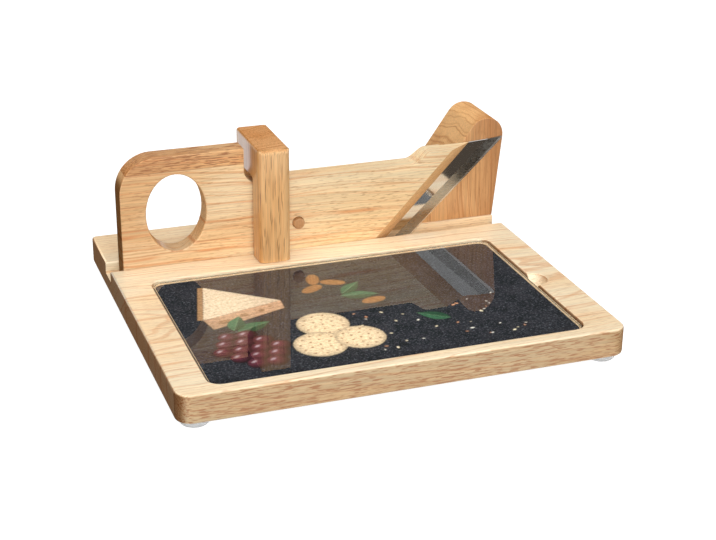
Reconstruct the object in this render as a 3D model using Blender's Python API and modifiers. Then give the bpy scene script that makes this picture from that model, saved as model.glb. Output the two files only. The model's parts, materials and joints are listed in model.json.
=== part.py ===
"""A wooden slicing board with a sliding blade, modelled piece by piece.

A wooden plate slides in a groove near the rear of the board. Its left end is the grip and its right
end carries a sloping steel blade, which shears past the front face of a fixed block. A slotted
bridge keeps the plate upright. A glass plate with a printed film under it lies in the front recess.

Board coordinates: X from the board's left end, Y from its front edge, Z from the table.
What stands on the board is drawn from the groove's centre line and the board's top face instead.
Metres throughout.
"""

import math

import bmesh
import bpy
from mathutils import Vector

# Board
BOARD_LENGTH = 0.280
BOARD_WIDTH = 0.250
BOARD_THICK = 0.018
FRONT_CORNER_R = 0.0095
REAR_CORNER_R = 0.003
BOARD_EDGE_R = 0.0015
LIP_R = 0.0012

# Groove for the sliding plate, parallel to the rear edge
REAR_STRIP = 0.0492
GROOVE_WIDTH = 0.016
GROOVE_DEPTH = 0.0075

# Recess for the glass, between three margins and the ledge in front of the groove
LEFT_MARGIN = 0.0209
RIGHT_MARGIN = 0.0233
FRONT_MARGIN = 0.0096
LEDGE = 0.0233
RECESS_CORNER_R = 0.008
GLASS_SUNK = 0.0014

# Finger scoop in the right margin
SCOOP_FROM_RECESS_FRONT = 0.0766
SCOOP_HALF_WIDTH = 0.0102
SCOOP_DEPTH = 0.0045

# Glass plate and film
GLASS_THICK = 0.004
GLASS_EDGE_R = 0.0005
FILM_THICK = 0.0004
FILM_INSET = 0.0004

# Feet
FOOT_D = 0.019
FOOT_FACE_D = 0.0135
FOOT_HEIGHT = 0.0045
FOOT_INSET = 0.012

# Sliding plate
SLIDER_LEFT = 0.0087
GRIP_LENGTH = 0.0832
GRIP_HEIGHT = 0.0744
GRIP_CORNER_R = 0.024
GRIP_EDGE_R = 0.0028
SHOULDER_FILLET_R = 0.0088
RUNNER_HEIGHT = 0.0503
NOSE_HEIGHT = 0.0577
NOSE_FLAT = 0.0147
STEP_RUN = 0.0144
NOSE_ANGLE = math.radians(46.4)
NOSE_BEVEL_RUN = 0.0183

# Oval grip hole
HOLE_FROM_LEFT = 0.0370
HOLE_CENTRE_HEIGHT = 0.0351
HOLE_HALF_WIDTH = 0.0201
HOLE_HALF_HEIGHT = 0.0265
HOLE_LIP_R = 0.0012

# Blade, with its cutting edge set back from the board's right end at the board's top face
BLADE_THICK = 0.0016
EDGE_THICK = 0.0003
EDGE_ANGLE = math.radians(43.9)
EDGE_SETBACK = 0.0558
BLADE_SHOWING = 0.0209
GROUND_WIDTH = 0.0092
BLADE_LAP = 0.016
BLADE_TIP_OVERHANG = 0.004
BLADE_TOP_RISE = 0.0014
BLADE_FLOOR_GAP = 0.001

# Blade screws, driven from behind
BLADE_SCREW_LAP = 0.0095
BLADE_SCREW_HEIGHTS = {"lower": 0.014, "upper": 0.042}
BLADE_SCREW_HEAD_D = 0.006
BLADE_SCREW_SHANK_D = 0.003
BLADE_SCREW_LENGTH = 0.0075

# Bridge over the sliding plate
BRIDGE_GAP_TO_GRIP = 0.0043
BRIDGE_LENGTH = 0.0216
BRIDGE_HEIGHT = 0.0784
BRIDGE_SETBACK = 0.0039
BRIDGE_REAR_LEG = 0.0197
BRIDGE_FRONT_EDGE_R = 0.004
BRIDGE_REAR_EDGE_R = 0.0022
SLOT_HEADROOM = 0.0048
SLOT_CORNER_R = 0.002

# Stop block at the right end of the rear strip
BLOCK_DEPTH = 0.0435
BLOCK_INSET = 0.0005
BLOCK_HEIGHT = 0.0729
BLOCK_TOP_R = 0.013
BLOCK_TOP_SETBACK = 0.0078
BLOCK_RAMP_ANGLE = math.radians(55)
BLOCK_EDGE_R = 0.0015

# Lock peg
PEG_FROM_BRIDGE = 0.0111
PEG_HEIGHT = 0.0184
PEG_D = 0.008
PEG_DEPTH = 0.012
PEG_PROUD = 0.003
PEG_END_R = 0.0009

# Wood screws driven up through the board
SCREW_HEAD_D = 0.008
SCREW_SHANK_D = 0.004
SCREW_LENGTH = 0.045
BLOCK_SCREWS_FROM_RIGHT = {"left": 0.042, "right": 0.014}
DRIVE_SHARE = 0.55
DRIVE_DEPTH_SHARE = 0.18

# Clearances
SEAT_GAP = 0.0003
SLIDE_CLEARANCE = 0.0004
GLASS_CLEARANCE = 0.0006
PEG_CLEARANCE = 0.0003
PEG_PASSING_GAP = 0.0004
SLOT_REAR_CLEARANCE = 0.0014

# How far a cutter reaches past the wood, and how smooth round shapes are
OVERCUT = 0.004
CORNER_STEPS = 6
EDGE_STEPS = 3
STEP_POINTS = 8
TOP_STEPS = 14
ROUND_SEGMENTS = 24
HOLE_SEGMENTS = 40

# Places that follow from the sizes
BOARD_UNDERSIDE = FOOT_HEIGHT + SEAT_GAP
BOARD_TOP = BOARD_UNDERSIDE + BOARD_THICK
GROOVE_REAR = BOARD_WIDTH - REAR_STRIP
GROOVE_FRONT = GROOVE_REAR - GROOVE_WIDTH
GROOVE_CENTRE = (GROOVE_FRONT + GROOVE_REAR) / 2
RECESS_RIGHT = BOARD_LENGTH - RIGHT_MARGIN
RECESS_REAR = GROOVE_FRONT - LEDGE
RECESS_DEPTH = GLASS_SUNK + GLASS_THICK + FILM_THICK + 2 * SEAT_GAP
SLIDER_REAR = GROOVE_WIDTH / 2 - SLIDE_CLEARANCE
SLIDER_FRONT = -SLIDER_REAR
SLIDER_FOOT = SEAT_GAP - GROOVE_DEPTH
SHOULDER = SLIDER_LEFT + GRIP_LENGTH
BRIDGE_LEFT = SHOULDER + BRIDGE_GAP_TO_GRIP
BRIDGE_RIGHT = BRIDGE_LEFT + BRIDGE_LENGTH
BRIDGE_FRONT = RECESS_REAR + BRIDGE_SETBACK - GROOVE_CENTRE
BRIDGE_REAR = GROOVE_WIDTH / 2 + BRIDGE_REAR_LEG
SLOT_FRONT = SLIDER_FRONT - PEG_PROUD - PEG_PASSING_GAP
SLOT_REAR = SLIDER_REAR + SLOT_REAR_CLEARANCE
SLOT_HEIGHT = RUNNER_HEIGHT + SLOT_HEADROOM
BLADE_FACE = SLIDER_REAR - BLADE_THICK
REBATE_FACE = BLADE_FACE - SEAT_GAP
BLADE_FOOT = BLADE_FLOOR_GAP - GROOVE_DEPTH
BLADE_TOP = NOSE_HEIGHT + BLADE_TOP_RISE
BLADE_TIP = BOARD_LENGTH + BLADE_TIP_OVERHANG
EDGE_AT_TOP_FACE = BOARD_LENGTH - EDGE_SETBACK
JOINT_AT_TOP_FACE = EDGE_AT_TOP_FACE - BLADE_SHOWING
NOSE_AT_TOP_FACE = JOINT_AT_TOP_FACE - NOSE_BEVEL_RUN
BLOCK_RIGHT = BOARD_LENGTH - BLOCK_INSET
BLOCK_TOP_CENTRE = BOARD_LENGTH - BLOCK_TOP_SETBACK
OVERALL_LENGTH = BLOCK_TOP_CENTRE + BLOCK_TOP_R

QUARTER = math.pi / 2


def empty_scene():
    """Remove every object, so the script can be run again in the same file."""
    for old in list(bpy.data.objects):
        bpy.data.objects.remove(old, do_unlink=True)


def collection(name):
    made = bpy.data.collections.new(name)
    bpy.context.scene.collection.children.link(made)
    return made


def finish(name, colour, roughness, metallic=0.0, alpha=1.0):
    material = bpy.data.materials.new(name)
    material.use_nodes = True
    shader = material.node_tree.nodes["Principled BSDF"]
    shader.inputs["Base Color"].default_value = (*colour, 1.0)
    shader.inputs["Roughness"].default_value = roughness
    shader.inputs["Metallic"].default_value = metallic
    shader.inputs["Alpha"].default_value = alpha
    return material


def datum(name, parent, location):
    """An empty that carries pieces. A moving group's empty lies on its line of travel."""
    carrier = bpy.data.objects.new(name, None)
    carrier.parent = parent
    carrier.location = location
    PIECES.objects.link(carrier)
    return carrier


def keep(bm, name, parent, material=None, location=(0, 0, 0), rotation=(0, 0, 0)):
    """Turn a bmesh into a named object. Without a material it is a cutter."""
    mesh = bpy.data.meshes.new(name)
    bm.to_mesh(mesh)
    bm.free()
    piece = bpy.data.objects.new(name, mesh)
    piece.parent = parent
    piece.location = location
    piece.rotation_euler = rotation
    if material is None:
        piece.display_type = "WIRE"
        piece.hide_render = True
        CUTTERS.objects.link(piece)
    else:
        mesh.materials.append(material)
        mesh.shade_smooth()
        mesh.set_sharp_from_angle(angle=math.radians(32))
        PIECES.objects.link(piece)
    return piece


def cut(piece, *cutters):
    for cutter in cutters:
        boolean = piece.modifiers.new("cut_" + cutter.name, "BOOLEAN")
        boolean.operation = "DIFFERENCE"
        boolean.solver = "EXACT"
        boolean.object = cutter


def arc(centre, radius, start, end, steps):
    """Points on a round stretch of an outline, from angle start to angle end."""
    points = []
    for count in range(steps + 1):
        turn = start + (end - start) * count / steps
        points.append((centre[0] + radius * math.cos(turn), centre[1] + radius * math.sin(turn)))
    return points


def rounded_rectangle(left, right, front, rear, front_r, rear_r, grow=0.0):
    """A rectangle with round corners, moved outwards all round by grow."""
    corners = (
        (left + front_r, front + front_r, front_r),
        (right - front_r, front + front_r, front_r),
        (right - rear_r, rear - rear_r, rear_r),
        (left + rear_r, rear - rear_r, rear_r),
    )
    points = []
    for count, (x, y, radius) in enumerate(corners):
        turn = math.pi + count * QUARTER
        points += arc((x, y), radius + grow, turn, turn + QUARTER, CORNER_STEPS)
    return points


def edge_rounding(low, high, radius):
    """(height, grow) pairs that round a slab's lower and upper edges."""
    turns = [QUARTER * count / EDGE_STEPS for count in range(EDGE_STEPS + 1)]
    lower = [(low + radius * (1 - math.cos(t)), radius * (math.sin(t) - 1)) for t in turns]
    upper = [(high + radius * (math.sin(t) - 1), radius * (math.cos(t) - 1)) for t in turns]
    return lower + upper


def stack(levels):
    """A closed solid through matching outlines in level planes, as (height, outline) pairs."""
    bm = bmesh.new()
    rings = []
    for height, outline in levels:
        verts = [bm.verts.new((x, y, height)) for x, y in outline]
        rings.append([bm.edges.new((verts[i - 1], verts[i])) for i in range(len(verts))])
    for lower, upper in zip(rings, rings[1:]):
        bmesh.ops.bridge_loops(bm, edges=lower + upper)
    for ring in (rings[0], rings[-1]):
        bmesh.ops.edgeloop_fill(bm, edges=ring)
    bmesh.ops.recalc_face_normals(bm, faces=bm.faces)
    return bm


def prism(outline, start, end, along="Y"):
    """A flat outline pushed along one axis. Its points are (x, z) along Y, or (y, z) along X."""
    bm = bmesh.new()
    if along == "Y":
        corners = [(u, start, v) for u, v in outline]
        push = Vector((0, end - start, 0))
    else:
        corners = [(start, u, v) for u, v in outline]
        push = Vector((end - start, 0, 0))
    face = bm.faces.new([bm.verts.new(corner) for corner in corners])
    pushed = bmesh.ops.extrude_face_region(bm, geom=[face])
    moved = [item for item in pushed["geom"] if isinstance(item, bmesh.types.BMVert)]
    bmesh.ops.translate(bm, vec=push, verts=moved)
    bmesh.ops.recalc_face_normals(bm, faces=bm.faces)
    return bm


def box(low, high):
    bm = bmesh.new()
    bmesh.ops.create_cube(bm, size=1)
    bmesh.ops.scale(bm, vec=Vector(high) - Vector(low), verts=bm.verts)
    bmesh.ops.translate(bm, vec=(Vector(low) + Vector(high)) / 2, verts=bm.verts)
    return bm


def round_edges(bm, radius, wanted):
    """Round the edges whose two ends pass the test together."""
    edges = [edge for edge in bm.edges if wanted(edge.verts[0].co, edge.verts[1].co)]
    bmesh.ops.bevel(
        bm,
        geom=edges,
        offset=radius,
        offset_type="OFFSET",
        segments=EDGE_STEPS,
        profile=0.5,
        affect="EDGES",
        clamp_overlap=True,
        material=-1,
    )


def slice_off(bm, point, along, towards, outwards):
    """Cut away what lies outwards of the plane through point that holds both directions."""
    normal = Vector(along).cross(Vector(towards)).normalized()
    if normal.dot(Vector(outwards)) < 0:
        normal.negate()
    whole = list(bm.verts) + list(bm.edges) + list(bm.faces)
    sliced = bmesh.ops.bisect_plane(
        bm, geom=whole, plane_co=point, plane_no=normal, clear_outer=True
    )
    rim = [item for item in sliced["geom_cut"] if isinstance(item, bmesh.types.BMEdge)]
    bmesh.ops.edgeloop_fill(bm, edges=rim)
    bmesh.ops.recalc_face_normals(bm, faces=bm.faces)


def turned(profile, name, parent, material=None, location=(0, 0, 0), rotation=(0, 0, 0)):
    """A round piece: a profile of (radius, height) points, top to bottom, turned about Z."""
    bm = bmesh.new()
    verts = [bm.verts.new((radius, 0, height)) for radius, height in profile]
    for upper, lower in zip(verts, verts[1:]):
        bm.edges.new((upper, lower))
    piece = keep(bm, name, parent, material, location, rotation)
    lathe = piece.modifiers.new("turn", "SCREW")
    lathe.axis = "Z"
    lathe.angle = 2 * math.pi
    lathe.steps = ROUND_SEGMENTS
    lathe.render_steps = ROUND_SEGMENTS
    lathe.use_merge_vertices = True
    lathe.merge_threshold = 0.00001
    lathe.use_smooth_shade = material is not None
    return piece


def screw_profile(head_d, shank_d, length):
    """A countersunk wood screw with its head's face at height 0."""
    head_r = head_d / 2
    shank_r = shank_d / 2
    return [
        (0, 0),
        (head_r, 0),
        (shank_r, shank_r - head_r),
        (shank_r, shank_r - length),
        (0, -length),
    ]


def screw_hole_profile(head_d, shank_d, length):
    """The countersunk hole for such a screw, which breaks out past the face."""
    head_r = head_d / 2 + SEAT_GAP
    shank_r = shank_d / 2 + SEAT_GAP
    return [
        (0, OVERCUT),
        (head_r, OVERCUT),
        (head_r, 0),
        (shank_r, shank_r - head_r),
        (shank_r, -length - SEAT_GAP),
        (0, -length - SEAT_GAP),
    ]


def screw(name, parent, place, turn, head_d, shank_d, length):
    """A countersunk screw with a cross recess, and the cutter for its hole."""
    piece = turned(screw_profile(head_d, shank_d, length), name, parent, STEEL, place, turn)
    reach = head_d / 2 * DRIVE_SHARE
    half = reach * 0.22
    cross = []
    for count in range(4):
        quarter_turn = count * QUARTER
        for x, y in ((reach, -half), (reach, half), (half, half)):
            cross.append(
                (
                    x * math.cos(quarter_turn) - y * math.sin(quarter_turn),
                    x * math.sin(quarter_turn) + y * math.cos(quarter_turn),
                )
            )
    recess = stack([(-head_d * DRIVE_DEPTH_SHARE, cross), (OVERCUT, cross)])
    cut(piece, keep(recess, name + "_recess", parent, None, place, turn))
    hole = screw_hole_profile(head_d, shank_d, length)
    return turned(hole, name + "_hole", parent, None, place, turn)


def joint_at(height):
    """Where the wood's sloping end meets the blade, at a height above the board."""
    return JOINT_AT_TOP_FACE + height / math.tan(NOSE_ANGLE)


def blade_back_at(height):
    """The blade's hidden long side, behind the wood."""
    return joint_at(height) - BLADE_LAP / math.sin(NOSE_ANGLE)


def edge_at(height):
    """The cutting edge."""
    return EDGE_AT_TOP_FACE + height / math.tan(EDGE_ANGLE)


def make_base_board(parent):
    levels = [
        (
            height,
            rounded_rectangle(
                0, BOARD_LENGTH, 0, BOARD_WIDTH, FRONT_CORNER_R, REAR_CORNER_R, grow
            ),
        )
        for height, grow in edge_rounding(BOARD_UNDERSIDE, BOARD_TOP, BOARD_EDGE_R)
    ]
    return keep(stack(levels), "base_board", parent, BOARD_WOOD)


def recess_cutter(parent):
    """The glass recess, whose rim opens out by a small rounding."""
    turns = [QUARTER * count / EDGE_STEPS for count in range(EDGE_STEPS + 1)]
    rim = [(BOARD_TOP + LIP_R * (math.sin(t) - 1), LIP_R * (1 - math.cos(t))) for t in turns]
    heights = [(BOARD_TOP - RECESS_DEPTH, 0)] + rim + [(BOARD_TOP + OVERCUT, LIP_R)]
    levels = [
        (
            height,
            rounded_rectangle(
                LEFT_MARGIN,
                RECESS_RIGHT,
                FRONT_MARGIN,
                RECESS_REAR,
                RECESS_CORNER_R,
                RECESS_CORNER_R,
                grow,
            ),
        )
        for height, grow in heights
    ]
    return keep(stack(levels), "recess_cutter", parent)


def scoop_cutter(parent):
    """A round dish at the recess's right wall, deep enough for a fingertip to lift the glass."""
    radius = (SCOOP_HALF_WIDTH**2 + SCOOP_DEPTH**2) / (2 * SCOOP_DEPTH)
    bm = bmesh.new()
    bmesh.ops.create_uvsphere(bm, u_segments=48, v_segments=32, radius=radius)
    place = (
        RECESS_RIGHT,
        FRONT_MARGIN + SCOOP_FROM_RECESS_FRONT,
        BOARD_TOP - SCOOP_DEPTH + radius,
    )
    return keep(bm, "scoop_cutter", parent, None, place)


def groove_cutter(parent):
    half = GROOVE_WIDTH / 2
    right_lip = arc((half + LIP_R, -LIP_R), LIP_R, math.pi, QUARTER, EDGE_STEPS)
    left_lip = [(-y, z) for y, z in reversed(right_lip)]
    outline = [(-half, -GROOVE_DEPTH), (half, -GROOVE_DEPTH)] + right_lip
    outline += [(half + LIP_R, OVERCUT), (-half - LIP_R, OVERCUT)] + left_lip
    return keep(
        prism(outline, -OVERCUT, BOARD_LENGTH + OVERCUT, along="X"), "groove_cutter", parent
    )


def make_glass(parent):
    """The glass plate over its printed film, on the recess floor."""
    half_x = (RECESS_RIGHT - LEFT_MARGIN) / 2 - GLASS_CLEARANCE
    half_y = (RECESS_REAR - FRONT_MARGIN) / 2 - GLASS_CLEARANCE
    radius = RECESS_CORNER_R - GLASS_CLEARANCE
    outline = [-half_x, half_x, -half_y, half_y, radius, radius]
    film_top = SEAT_GAP + FILM_THICK
    film = [(height, rounded_rectangle(*outline, -FILM_INSET)) for height in (SEAT_GAP, film_top)]
    keep(stack(film), "print_film", parent, PRINT)
    glass_low = film_top + SEAT_GAP
    glass = [
        (height, rounded_rectangle(*outline, grow))
        for height, grow in edge_rounding(glass_low, glass_low + GLASS_THICK, GLASS_EDGE_R)
    ]
    keep(stack(glass), "glass_plate", parent, GLASS)


def make_foot(name, parent, x, y):
    """A clear bumper under the board, its side curving in to the face that it stands on."""
    face_r = FOOT_FACE_D / 2
    bulge = FOOT_D / 2 - face_r
    side = [
        (face_r + bulge * math.cos(turn), FOOT_HEIGHT * (1 - math.sin(turn)))
        for turn in (QUARTER * count / CORNER_STEPS for count in range(CORNER_STEPS + 1))
    ]
    turned([(0, FOOT_HEIGHT)] + side + [(0, 0)], name, parent, BUMPER, (x, y, 0))


def slider_outline():
    """The sliding plate seen from the front: grip, shoulder, runner, step and nose."""
    corner = (SLIDER_LEFT + GRIP_CORNER_R, GRIP_HEIGHT - GRIP_CORNER_R)
    fillet = (SHOULDER + SHOULDER_FILLET_R, RUNNER_HEIGHT + SHOULDER_FILLET_R)
    nose_front_top = NOSE_AT_TOP_FACE + NOSE_HEIGHT / math.tan(NOSE_ANGLE)
    step_top = nose_front_top - NOSE_FLAT
    step = []
    for count in range(STEP_POINTS + 1):
        share = count / STEP_POINTS
        rise = share * share * (3 - 2 * share)
        step.append(
            (
                step_top - STEP_RUN * (1 - share),
                RUNNER_HEIGHT + (NOSE_HEIGHT - RUNNER_HEIGHT) * rise,
            )
        )
    outline = [(SLIDER_LEFT, SLIDER_FOOT)]
    outline += arc(corner, GRIP_CORNER_R, math.pi, QUARTER, 2 * CORNER_STEPS)
    outline += [(SHOULDER, GRIP_HEIGHT)]
    outline += arc(fillet, SHOULDER_FILLET_R, math.pi, 3 * QUARTER, CORNER_STEPS)
    outline += step
    outline += [
        (joint_at(NOSE_HEIGHT) + OVERCUT, NOSE_HEIGHT),
        (joint_at(SLIDER_FOOT) + OVERCUT, SLIDER_FOOT),
    ]
    return outline


def grip_hole_cutter(parent):
    """The oval hole, whose two rims open out by a small rounding."""
    turns = [QUARTER * count / EDGE_STEPS for count in range(EDGE_STEPS + 1)]
    flare = [(HOLE_LIP_R * (1 - math.cos(t)), HOLE_LIP_R * (1 - math.sin(t))) for t in turns]
    rear = [(SLIDER_REAR - inset, grow) for grow, inset in flare]
    front = [(-y, grow) for y, grow in reversed(rear)]
    outermost = (SLIDER_REAR + OVERCUT, HOLE_LIP_R)
    rings = [(-outermost[0], outermost[1])] + front + rear + [outermost]
    levels = []
    for depth, grow in rings:
        oval = []
        for count in range(HOLE_SEGMENTS):
            turn = 2 * math.pi * count / HOLE_SEGMENTS
            oval.append(
                (
                    (HOLE_HALF_WIDTH + grow) * math.cos(turn),
                    (HOLE_HALF_HEIGHT + grow) * math.sin(turn),
                )
            )
        levels.append((depth, oval))
    place = (SLIDER_LEFT + HOLE_FROM_LEFT, 0, HOLE_CENTRE_HEIGHT)
    return keep(stack(levels), "grip_hole_cutter", parent, None, place, (-QUARTER, 0, 0))


def rebate_cutter(parent):
    """The rebate behind the nose that the blade lies in."""
    low = SLIDER_FOOT - OVERCUT
    high = NOSE_HEIGHT + OVERCUT
    outline = [
        (blade_back_at(low) - SEAT_GAP, low),
        (joint_at(low) + 3 * OVERCUT, low),
        (joint_at(high) + 3 * OVERCUT, high),
        (blade_back_at(high) - SEAT_GAP, high),
    ]
    return keep(prism(outline, REBATE_FACE, SLIDER_REAR + OVERCUT), "rebate_cutter", parent)


def make_slider(parent):
    bm = prism(slider_outline(), SLIDER_FRONT, SLIDER_REAR)
    grip_end = (SHOULDER + BRIDGE_LEFT) / 2
    round_edges(bm, GRIP_EDGE_R, lambda a, b: a.y == b.y and max(a.x, b.x) < grip_end)
    nose_foot = (NOSE_AT_TOP_FACE, SLIDER_FRONT, 0)
    along_nose = (math.cos(NOSE_ANGLE), 0, math.sin(NOSE_ANGLE))
    across_bevel = (NOSE_BEVEL_RUN, REBATE_FACE - SLIDER_FRONT, 0)
    slice_off(bm, nose_foot, along_nose, across_bevel, (1, -1, 0))
    slider = keep(bm, "slider_plate", parent, SLIDER_WOOD)
    cut(slider, grip_hole_cutter(parent), rebate_cutter(parent))
    return slider


def make_blade(parent):
    edge_at_tip = (BLADE_TIP - EDGE_AT_TOP_FACE) * math.tan(EDGE_ANGLE)
    outline = [
        (blade_back_at(BLADE_FOOT), BLADE_FOOT),
        (blade_back_at(BLADE_TOP), BLADE_TOP),
        (BLADE_TIP, BLADE_TOP),
        (BLADE_TIP, edge_at_tip),
        (edge_at(BLADE_FOOT), BLADE_FOOT),
    ]
    bm = prism(outline, BLADE_FACE, SLIDER_REAR)
    on_edge = (EDGE_AT_TOP_FACE, SLIDER_REAR - EDGE_THICK, 0)
    along_edge = (math.cos(EDGE_ANGLE), 0, math.sin(EDGE_ANGLE))
    across_grind = (
        -GROUND_WIDTH * math.sin(EDGE_ANGLE),
        EDGE_THICK - BLADE_THICK,
        GROUND_WIDTH * math.cos(EDGE_ANGLE),
    )
    slice_off(bm, on_edge, along_edge, across_grind, (0, -1, 0))
    return keep(bm, "blade", parent, BLADE_STEEL)


def make_bridge(parent):
    low = (BRIDGE_LEFT, BRIDGE_FRONT, SEAT_GAP)
    high = (BRIDGE_RIGHT, BRIDGE_REAR, BRIDGE_HEIGHT)
    bm = box(low, high)
    middle = (BRIDGE_FRONT + BRIDGE_REAR) / 2
    high_up = (BRIDGE_HEIGHT + SLOT_HEIGHT) / 2
    round_edges(
        bm, BRIDGE_FRONT_EDGE_R, lambda a, b: max(a.y, b.y) < middle and max(a.z, b.z) > high_up
    )
    whole_edge = BRIDGE_FRONT_EDGE_R + BRIDGE_REAR_EDGE_R
    round_edges(
        bm,
        BRIDGE_REAR_EDGE_R,
        lambda a, b: (a - b).length > whole_edge and max(a.y, b.y) > middle and max(a.z, b.z) > high_up,
    )
    bridge = keep(bm, "guide_bridge", parent, BRIDGE_WOOD)
    rear_corner = (SLOT_REAR - SLOT_CORNER_R, SLOT_HEIGHT - SLOT_CORNER_R)
    front_corner = (SLOT_FRONT + SLOT_CORNER_R, SLOT_HEIGHT - SLOT_CORNER_R)
    outline = [(SLOT_FRONT, -OVERCUT), (SLOT_REAR, -OVERCUT)]
    outline += arc(rear_corner, SLOT_CORNER_R, 0, QUARTER, EDGE_STEPS)
    outline += arc(front_corner, SLOT_CORNER_R, QUARTER, math.pi, EDGE_STEPS)
    slot = prism(outline, BRIDGE_LEFT - OVERCUT, BRIDGE_RIGHT + OVERCUT, along="X")
    cut(bridge, keep(slot, "slot_cutter", parent))
    return bridge


def make_stop_block(parent):
    """A wedge with a round top: a ramp on its left, and a right side that leans out."""
    centre = (BLOCK_TOP_CENTRE, BLOCK_HEIGHT - BLOCK_TOP_R)
    lean_x = centre[0] - BLOCK_RIGHT
    lean_z = centre[1] - SEAT_GAP
    reach = math.hypot(lean_x, lean_z)
    lean = math.atan2(lean_z, lean_x) - math.asin(BLOCK_TOP_R / reach)
    top = arc(centre, BLOCK_TOP_R, lean - QUARTER, QUARTER + BLOCK_RAMP_ANGLE, TOP_STEPS)
    ramp_x, ramp_z = top[-1]
    ramp_foot = ramp_x - (ramp_z - SEAT_GAP) / math.tan(BLOCK_RAMP_ANGLE)
    outline = [(BLOCK_RIGHT, SEAT_GAP)] + top + [(ramp_foot, SEAT_GAP)]
    front = GROOVE_WIDTH / 2
    rear = front + BLOCK_DEPTH
    bm = prism(outline, front, rear)
    middle = (front + rear) / 2
    round_edges(bm, BLOCK_EDGE_R, lambda a, b: min(a.y, b.y) > middle and max(a.z, b.z) > SEAT_GAP)
    return keep(bm, "stop_block", parent, BLOCK_WOOD)


def make_peg(parent):
    """The lock peg in its blind hole; the peg's own origin is at the hole's mouth."""
    radius = PEG_D / 2
    end = arc((radius - PEG_END_R, PEG_PROUD - PEG_END_R), PEG_END_R, QUARTER, 0, EDGE_STEPS)
    place = (BRIDGE_RIGHT + PEG_FROM_BRIDGE, SLIDER_FRONT, PEG_HEIGHT)
    turn = (QUARTER, 0, 0)
    profile = [(0, PEG_PROUD)] + end + [(radius, -PEG_DEPTH), (0, -PEG_DEPTH)]
    turned(profile, "lock_peg", parent, PEG_WOOD, place, turn)
    hole_r = radius + PEG_CLEARANCE
    depth = PEG_DEPTH + SEAT_GAP
    hole = [(0, OVERCUT), (hole_r, OVERCUT), (hole_r, -depth), (0, -depth)]
    return turned(hole, "peg_hole_cutter", parent, None, place, turn)


empty_scene()
PIECES = collection("slicing_board")
CUTTERS = collection("cutters")

BOARD_WOOD = finish("board_wood", (0.78, 0.56, 0.33), 0.45)
SLIDER_WOOD = finish("slider_wood", (0.83, 0.61, 0.37), 0.45)
BRIDGE_WOOD = finish("bridge_wood", (0.66, 0.42, 0.20), 0.42)
BLOCK_WOOD = finish("block_wood", (0.60, 0.33, 0.13), 0.42)
PEG_WOOD = finish("peg_wood", (0.74, 0.50, 0.28), 0.5)
BLADE_STEEL = finish("blade_steel", (0.62, 0.63, 0.64), 0.12, metallic=1.0)
STEEL = finish("screw_steel", (0.55, 0.55, 0.56), 0.35, metallic=1.0)
GLASS = finish("clear_glass", (0.92, 0.96, 0.95), 0.03, alpha=0.25)
PRINT = finish("slate_print", (0.03, 0.03, 0.035), 0.6)
BUMPER = finish("clear_bumper", (0.85, 0.87, 0.88), 0.15, alpha=0.5)

board_datum = datum("board_datum", None, (-OVERALL_LENGTH / 2, -BOARD_WIDTH / 2, 0))
top_face = datum("top_face_at_groove", board_datum, (0, GROOVE_CENTRE, BOARD_TOP))
slider_carriage = datum("slider_carriage", board_datum, (0, GROOVE_CENTRE, BOARD_TOP))
recess_centre = ((LEFT_MARGIN + RECESS_RIGHT) / 2, (FRONT_MARGIN + RECESS_REAR) / 2)
glass_seat = datum("glass_seat", board_datum, (*recess_centre, BOARD_TOP - RECESS_DEPTH))

base_board = make_base_board(board_datum)
cut(base_board, recess_cutter(board_datum), scoop_cutter(board_datum), groove_cutter(top_face))
make_glass(glass_seat)

for side, foot_x in (("left", FOOT_INSET), ("right", BOARD_LENGTH - FOOT_INSET)):
    for end, foot_y in (("front", FOOT_INSET), ("rear", BOARD_WIDTH - FOOT_INSET)):
        make_foot(f"foot_{end}_{side}", board_datum, foot_x, foot_y)

slider_plate = make_slider(slider_carriage)
blade = make_blade(slider_carriage)
for position, screw_height in BLADE_SCREW_HEIGHTS.items():
    screw_x = joint_at(screw_height) - BLADE_SCREW_LAP / math.sin(NOSE_ANGLE)
    hole = screw(
        f"blade_screw_{position}",
        slider_carriage,
        (screw_x, SLIDER_REAR, screw_height),
        (-QUARTER, 0, 0),
        BLADE_SCREW_HEAD_D,
        BLADE_SCREW_SHANK_D,
        BLADE_SCREW_LENGTH,
    )
    cut(slider_plate, hole)
    cut(blade, hole)
cut(slider_plate, make_peg(slider_carriage))

guide_bridge = make_bridge(top_face)
stop_block = make_stop_block(top_face)
bridge_x = (BRIDGE_LEFT + BRIDGE_RIGHT) / 2
block_y = GROOVE_WIDTH / 2 + BLOCK_DEPTH / 2
board_screws = [
    ("bridge_screw_front", guide_bridge, bridge_x, (BRIDGE_FRONT + SLOT_FRONT) / 2),
    ("bridge_screw_rear", guide_bridge, bridge_x, (SLOT_REAR + BRIDGE_REAR) / 2),
]
for side, setback in BLOCK_SCREWS_FROM_RIGHT.items():
    board_screws.append((f"block_screw_{side}", stop_block, BOARD_LENGTH - setback, block_y))
for name, standing, screw_x, screw_y in board_screws:
    hole = screw(
        name,
        top_face,
        (screw_x, screw_y, -BOARD_THICK),
        (math.pi, 0, 0),
        SCREW_HEAD_D,
        SCREW_SHANK_D,
        SCREW_LENGTH,
    )
    cut(base_board, hole)
    cut(standing, hole)
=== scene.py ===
# %% [markdown]
# # A wooden slicing board with a sliding blade
#
# The board is 280 mm long. A wooden plate slides in its rear groove and carries a sloping blade
# past a fixed block, and a glass plate lies in front, over a printed film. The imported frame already
# holds every piece at its real size and place, so this script only has to give each piece a smooth,
# fine surface and a believable finish. Everything is in metres, in the frame's own coordinates.

# %% Load the frame
import json
import math

import bmesh
import bpy
import numpy as np
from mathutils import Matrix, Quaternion, Vector


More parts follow.
